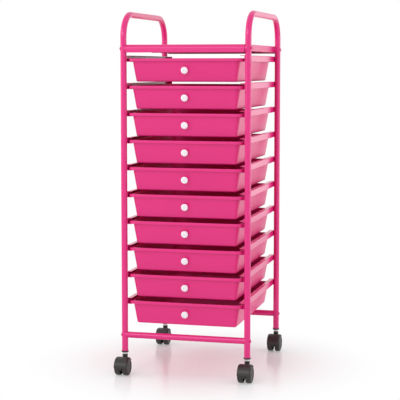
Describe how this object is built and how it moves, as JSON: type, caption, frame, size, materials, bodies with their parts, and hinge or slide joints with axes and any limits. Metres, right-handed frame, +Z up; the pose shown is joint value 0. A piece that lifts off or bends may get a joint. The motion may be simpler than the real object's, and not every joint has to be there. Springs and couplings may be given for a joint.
{
  "type": "rolling drawer cart",
  "caption": "Rolling storage cart with a bent steel-tube frame, shallow pull-out plastic drawers on channel runners, a top tray and twin-wheel swivel casters.",
  "frame": {"origin": "on the floor, under the middle of the whole cart's outline", "axes": "+X to the right seen from the front, +Y from the drawer fronts to the back, +Z up"},
  "size_m": [0.36, 0.429, 0.933],
  "materials": {
    "frame_paint": "gloss pink paint on steel tube and steel channel",
    "pink_plastic": "gloss moulded pink",
    "white_plastic": "gloss moulded white",
    "plated_steel": "bright zinc plate",
    "dark_plastic": "satin moulded, very dark",
    "wheel_plastic": "satin moulded, very dark"
  },
  "bodies": {
    "frame": {"left_side_frame": "frame_paint", "right_side_frame": "frame_paint", "left_runners": "frame_paint", "right_runners": "frame_paint", "top_front_rail": "frame_paint", "top_back_rail": "frame_paint", "low_front_rail": "frame_paint", "low_back_rail": "frame_paint", "rail_inserts": "dark_plastic", "frame_bolts": "frame_paint", "top_tray": "pink_plastic", "leg_plugs": "dark_plastic", "caster_stems": "plated_steel"},
    "drawer_01_body": {"drawer_01": "pink_plastic", "knob_01": "white_plastic", "knob_screw_01": "plated_steel"},
    "drawer_02_body": {"drawer_02": "pink_plastic", "knob_02": "white_plastic", "knob_screw_02": "plated_steel"},
    "drawer_03_body": {"drawer_03": "pink_plastic", "knob_03": "white_plastic", "knob_screw_03": "plated_steel"},
    "drawer_04_body": {"drawer_04": "pink_plastic", "knob_04": "white_plastic", "knob_screw_04": "plated_steel"},
    "drawer_05_body": {"drawer_05": "pink_plastic", "knob_05": "white_plastic", "knob_screw_05": "plated_steel"},
    "drawer_06_body": {"drawer_06": "pink_plastic", "knob_06": "white_plastic", "knob_screw_06": "plated_steel"},
    "drawer_07_body": {"drawer_07": "pink_plastic", "knob_07": "white_plastic", "knob_screw_07": "plated_steel"},
    "drawer_08_body": {"drawer_08": "pink_plastic", "knob_08": "white_plastic", "knob_screw_08": "plated_steel"},
    "drawer_09_body": {"drawer_09": "pink_plastic", "knob_09": "white_plastic", "knob_screw_09": "plated_steel"},
    "drawer_10_body": {"drawer_10": "pink_plastic", "knob_10": "white_plastic", "knob_screw_10": "plated_steel"},
    "front_left_caster": {"front_left_caster_housing": "dark_plastic", "front_left_caster_axle": "plated_steel"},
    "front_left_caster_left_wheel_body": {"front_left_caster_left_wheel": "wheel_plastic"},
    "front_left_caster_right_wheel_body": {"front_left_caster_right_wheel": "wheel_plastic"},
    "front_right_caster": {"front_right_caster_housing": "dark_plastic", "front_right_caster_axle": "plated_steel"},
    "front_right_caster_left_wheel_body": {"front_right_caster_left_wheel": "wheel_plastic"},
    "front_right_caster_right_wheel_body": {"front_right_caster_right_wheel": "wheel_plastic"},
    "back_left_caster": {"back_left_caster_housing": "dark_plastic", "back_left_caster_axle": "plated_steel"},
    "back_left_caster_left_wheel_body": {"back_left_caster_left_wheel": "wheel_plastic"},
    "back_left_caster_right_wheel_body": {"back_left_caster_right_wheel": "wheel_plastic"},
    "back_right_caster": {"back_right_caster_housing": "dark_plastic", "back_right_caster_axle": "plated_steel"},
    "back_right_caster_left_wheel_body": {"back_right_caster_left_wheel": "wheel_plastic"},
    "back_right_caster_right_wheel_body": {"back_right_caster_right_wheel": "wheel_plastic"}
  },
  "joints": [
    {"name": "drawer_01_slide", "type": "slide", "parent": "frame", "child": "drawer_01_body", "axis": [0, -1, 0], "range_m": [0, 0.3]},
    {"name": "drawer_02_slide", "type": "slide", "parent": "frame", "child": "drawer_02_body", "axis": [0, -1, 0], "range_m": [0, 0.3]},
    {"name": "drawer_03_slide", "type": "slide", "parent": "frame", "child": "drawer_03_body", "axis": [0, -1, 0], "range_m": [0, 0.3]},
    {"name": "drawer_04_slide", "type": "slide", "parent": "frame", "child": "drawer_04_body", "axis": [0, -1, 0], "range_m": [0, 0.3]},
    {"name": "drawer_05_slide", "type": "slide", "parent": "frame", "child": "drawer_05_body", "axis": [0, -1, 0], "range_m": [0, 0.3]},
    {"name": "drawer_06_slide", "type": "slide", "parent": "frame", "child": "drawer_06_body", "axis": [0, -1, 0], "range_m": [0, 0.3]},
    {"name": "drawer_07_slide", "type": "slide", "parent": "frame", "child": "drawer_07_body", "axis": [0, -1, 0], "range_m": [0, 0.3]},
    {"name": "drawer_08_slide", "type": "slide", "parent": "frame", "child": "drawer_08_body", "axis": [0, -1, 0], "range_m": [0, 0.3]},
    {"name": "drawer_09_slide", "type": "slide", "parent": "frame", "child": "drawer_09_body", "axis": [0, -1, 0], "range_m": [0, 0.3]},
    {"name": "drawer_10_slide", "type": "slide", "parent": "frame", "child": "drawer_10_body", "axis": [0, -1, 0], "range_m": [0, 0.3]},
    {"name": "front_left_caster_swivel", "type": "hinge", "parent": "frame", "child": "front_left_caster", "pos_m": [-0.162, -0.1685, 0.045], "axis": [0, 0, 1], "continuous": true},
    {"name": "front_left_caster_left_wheel_spin", "type": "hinge", "parent": "front_left_caster", "child": "front_left_caster_left_wheel_body", "pos_m": [-0.17275, -0.1885, 0.022], "axis": [1, 0, 0], "continuous": true},
    {"name": "front_left_caster_right_wheel_spin", "type": "hinge", "parent": "front_left_caster", "child": "front_left_caster_right_wheel_body", "pos_m": [-0.15125, -0.1885, 0.022], "axis": [1, 0, 0], "continuous": true},
    {"name": "front_right_caster_swivel", "type": "hinge", "parent": "frame", "child": "front_right_caster", "pos_m": [0.162, -0.1685, 0.045], "axis": [0, 0, 1], "continuous": true},
    {"name": "front_right_caster_left_wheel_spin", "type": "hinge", "parent": "front_right_caster", "child": "front_right_caster_left_wheel_body", "pos_m": [0.15125, -0.1885, 0.022], "axis": [1, 0, 0], "continuous": true},
    {"name": "front_right_caster_right_wheel_spin", "type": "hinge", "parent": "front_right_caster", "child": "front_right_caster_right_wheel_body", "pos_m": [0.17275, -0.1885, 0.022], "axis": [1, 0, 0], "continuous": true},
    {"name": "back_left_caster_swivel", "type": "hinge", "parent": "frame", "child": "back_left_caster", "pos_m": [-0.162, 0.2055, 0.045], "axis": [0, 0, 1], "continuous": true},
    {"name": "back_left_caster_left_wheel_spin", "type": "hinge", "parent": "back_left_caster", "child": "back_left_caster_left_wheel_body", "pos_m": [-0.17275, 0.1855, 0.022], "axis": [1, 0, 0], "continuous": true},
    {"name": "back_left_caster_right_wheel_spin", "type": "hinge", "parent": "back_left_caster", "child": "back_left_caster_right_wheel_body", "pos_m": [-0.15125, 0.1855, 0.022], "axis": [1, 0, 0], "continuous": true},
    {"name": "back_right_caster_swivel", "type": "hinge", "parent": "frame", "child": "back_right_caster", "pos_m": [0.162, 0.2055, 0.045], "axis": [0, 0, 1], "continuous": true},
    {"name": "back_right_caster_left_wheel_spin", "type": "hinge", "parent": "back_right_caster", "child": "back_right_caster_left_wheel_body", "pos_m": [0.15125, 0.1855, 0.022], "axis": [1, 0, 0], "continuous": true},
    {"name": "back_right_caster_right_wheel_spin", "type": "hinge", "parent": "back_right_caster", "child": "back_right_caster_right_wheel_body", "pos_m": [0.17275, 0.1855, 0.022], "axis": [1, 0, 0], "continuous": true}
  ]
}
